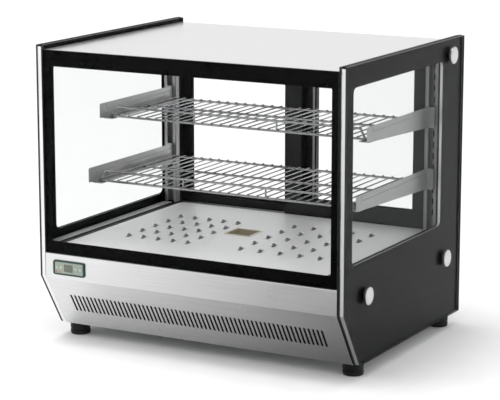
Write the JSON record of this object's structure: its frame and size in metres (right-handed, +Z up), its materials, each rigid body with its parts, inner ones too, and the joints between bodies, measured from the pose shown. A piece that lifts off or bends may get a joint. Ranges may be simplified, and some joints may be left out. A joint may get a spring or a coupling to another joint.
{
  "type": "heated glass food display case",
  "caption": "Counter-top hot food display case with double-glazed printed side glasses, wire shelves on brackets, perforated deck, sliding rear doors and a sloping vented steel front.",
  "frame": {"origin": "on the counter surface under the middle of the case", "axes": "+X to the right seen from the customer's side, +Y towards the service side with the sliding doors, +Z up"},
  "size_m": [0.716, 0.566, 0.622],
  "materials": {
    "dark_glass": "toughened flat glass with a black printed border fired on its inner face",
    "clear_glass": "clear toughened float glass, polished edges",
    "spacer_aluminium": "bright satin anodised spacer profile",
    "brushed_steel": "stainless sheet with a fine horizontal brushed grain",
    "stud_steel": "turned stainless, satin face",
    "galvanised_sheet": "zinc coated sheet, dull spangle",
    "chrome_wire": "welded wire, bright plated",
    "black_frame": "black powder coat on extrusion, satin",
    "track_aluminium": "mill finish extrusion, satin",
    "black_rubber": "moulded rubber, matt",
    "black_plastic": "moulded nylon, fine grain",
    "control_face": "moulded bezel with a printed face film",
    "key_plastic": "moulded key cap",
    "display_window": "tinted clear window",
    "lamp_lens": "opal extruded cover",
    "switch_red": "moulded rocker, translucent red",
    "element_sheath": "heat tinted tubular sheath"
  },
  "bodies": {
    "case": {"left_outer_glass": "dark_glass", "left_inner_glass": "dark_glass", "left_spacer_frame": "spacer_aluminium", "left_stud_top_rear": "stud_steel", "left_stud_low_rear": "stud_steel", "left_stud_low_front": "stud_steel", "left_deck_rail": "black_frame", "left_upright": "galvanised_sheet", "upper_left_bracket": "galvanised_sheet", "lower_left_bracket": "galvanised_sheet", "right_outer_glass": "dark_glass", "right_inner_glass": "dark_glass", "right_spacer_frame": "spacer_aluminium", "right_stud_top_rear": "stud_steel", "right_stud_low_rear": "stud_steel", "right_stud_low_front": "stud_steel", "right_deck_rail": "black_frame", "right_upright": "galvanised_sheet", "upper_right_bracket": "galvanised_sheet", "lower_right_bracket": "galvanised_sheet", "front_panel": "brushed_steel", "front_glass": "dark_glass", "roof_sheet": "brushed_steel", "base_pan": "galvanised_sheet", "rear_panel": "brushed_steel", "foot_front_left": "black_rubber", "foot_front_right": "black_rubber", "foot_rear_left": "black_rubber", "foot_rear_right": "black_rubber", "bottom_track": "track_aluminium", "door_surround": "black_frame", "air_tray": "galvanised_sheet", "heating_element": "element_sheath", "fan_housing": "black_plastic", "terminal_box": "black_plastic", "lamp_housing": "track_aluminium", "lamp_diffuser": "lamp_lens", "thermostat_bezel": "control_face", "thermostat_body": "black_plastic", "thermostat_display": "display_window", "switch_housing": "black_plastic", "cable_gland": "black_plastic"},
    "left_door": {"left_door_frame": "black_frame", "left_door_glass": "clear_glass", "left_door_pull": "black_plastic"},
    "right_door": {"right_door_frame": "black_frame", "right_door_glass": "clear_glass", "right_door_pull": "black_plastic"},
    "upper_wire_shelf": {"upper_shelf": "chrome_wire"},
    "lower_wire_shelf": {"lower_shelf": "chrome_wire"},
    "deck_plate": {"deck": "brushed_steel"},
    "humidity_cup": {"water_cup": "brushed_steel", "cup_plug": "black_plastic"},
    "down_key": {"key_down": "key_plastic"},
    "up_key": {"key_up": "key_plastic"},
    "set_key": {"key_set": "key_plastic"},
    "lamp_key": {"key_lamp": "key_plastic"},
    "fan_wheel": {"fan_rotor": "black_plastic"},
    "power_rocker": {"rocker": "switch_red"}
  },
  "joints": [
    {"name": "left_door_slide", "type": "slide", "parent": "case", "child": "left_door", "axis": [1, 0, 0], "range_m": [0, 0.27]},
    {"name": "right_door_slide", "type": "slide", "parent": "case", "child": "right_door", "axis": [-1, 0, 0], "range_m": [0, 0.27]},
    {"name": "upper_shelf_lift", "type": "slide", "parent": "case", "child": "upper_wire_shelf", "axis": [0, 0, 1], "range_m": [0, 0.03]},
    {"name": "lower_shelf_lift", "type": "slide", "parent": "case", "child": "lower_wire_shelf", "axis": [0, 0, 1], "range_m": [0, 0.03]},
    {"name": "deck_lift", "type": "slide", "parent": "case", "child": "deck_plate", "axis": [0, 0, 1], "range_m": [0, 0.03]},
    {"name": "cup_lift", "type": "slide", "parent": "deck_plate", "child": "humidity_cup", "axis": [0, 0, 1], "range_m": [0, 0.04]},
    {"name": "down_key_press", "type": "slide", "parent": "case", "child": "down_key", "axis": [0, 1, 0], "range_m": [0, 0.0008], "stiffness_N_per_m": 500},
    {"name": "up_key_press", "type": "slide", "parent": "case", "child": "up_key", "axis": [0, 1, 0], "range_m": [0, 0.0008], "stiffness_N_per_m": 500},
    {"name": "set_key_press", "type": "slide", "parent": "case", "child": "set_key", "axis": [0, 1, 0], "range_m": [0, 0.0008], "stiffness_N_per_m": 500},
    {"name": "lamp_key_press", "type": "slide", "parent": "case", "child": "lamp_key", "axis": [0, 1, 0], "range_m": [0, 0.0008], "stiffness_N_per_m": 500},
    {"name": "fan_spin", "type": "hinge", "parent": "case", "child": "fan_wheel", "pos_m": [0.15, 0.04, 0.136], "axis": [0, 0, 1], "continuous": true},
    {"name": "rocker_tilt", "type": "hinge", "parent": "case", "child": "power_rocker", "pos_m": [0.2, 0.26, 0.125], "axis": [0, 0, 1], "range_deg": [0, 12]}
  ]
}
